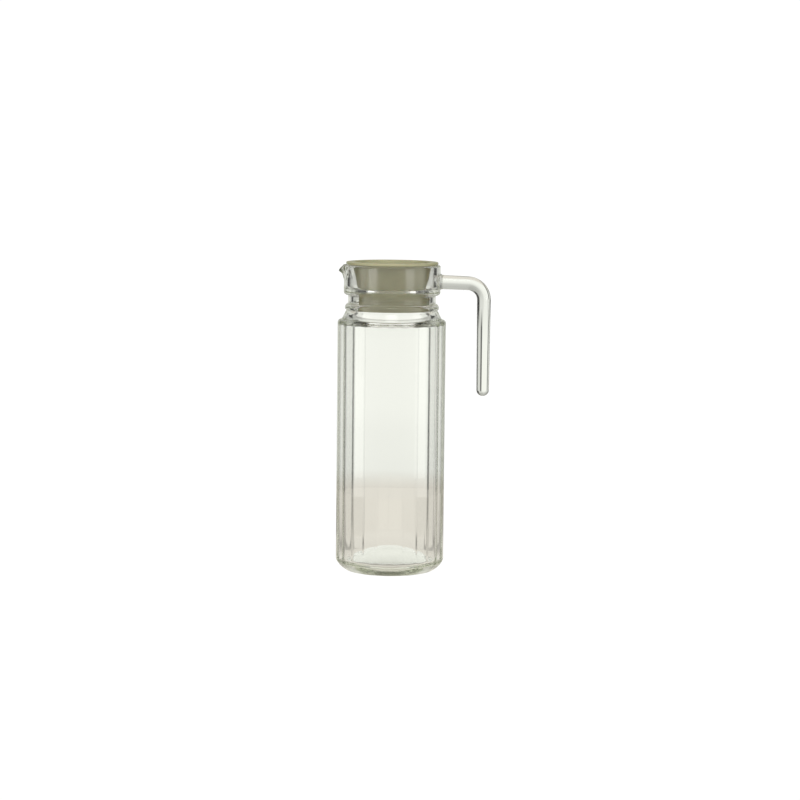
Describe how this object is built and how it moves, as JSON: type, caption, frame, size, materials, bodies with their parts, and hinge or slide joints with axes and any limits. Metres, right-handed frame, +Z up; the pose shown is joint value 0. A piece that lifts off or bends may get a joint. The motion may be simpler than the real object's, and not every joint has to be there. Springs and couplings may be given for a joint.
{
  "type": "glass pitcher with lid",
  "caption": "Tall faceted clear glass jug with a pouring beak, an open rod handle bent down from its mouth ring, and a soft stopper lid that lifts out.",
  "frame": {"origin": "centre of the base on the jug's axis, at the plane the jug stands on", "axes": "+Z up along the jug's axis, -X towards the pouring beak, +X towards the handle"},
  "size_m": [0.1237, 0.0878, 0.2503],
  "materials": {
    "clear_glass": "pressed and fire-polished clear soda-lime glass with a faint grey-green tint",
    "handle_glass": "drawn and bent clear glass rod, fire-polished",
    "lid_plastic": "satin injection-moulded soft polyethylene, olive grey"
  },
  "bodies": {
    "jug": {"jug_body": "clear_glass", "handle": "handle_glass"},
    "lid": {"lid": "lid_plastic"}
  },
  "joints": [
    {"name": "lid_lift", "type": "slide", "parent": "jug", "child": "lid", "axis": [0, 0, 1], "range_m": [0, 0.06]}
  ]
}
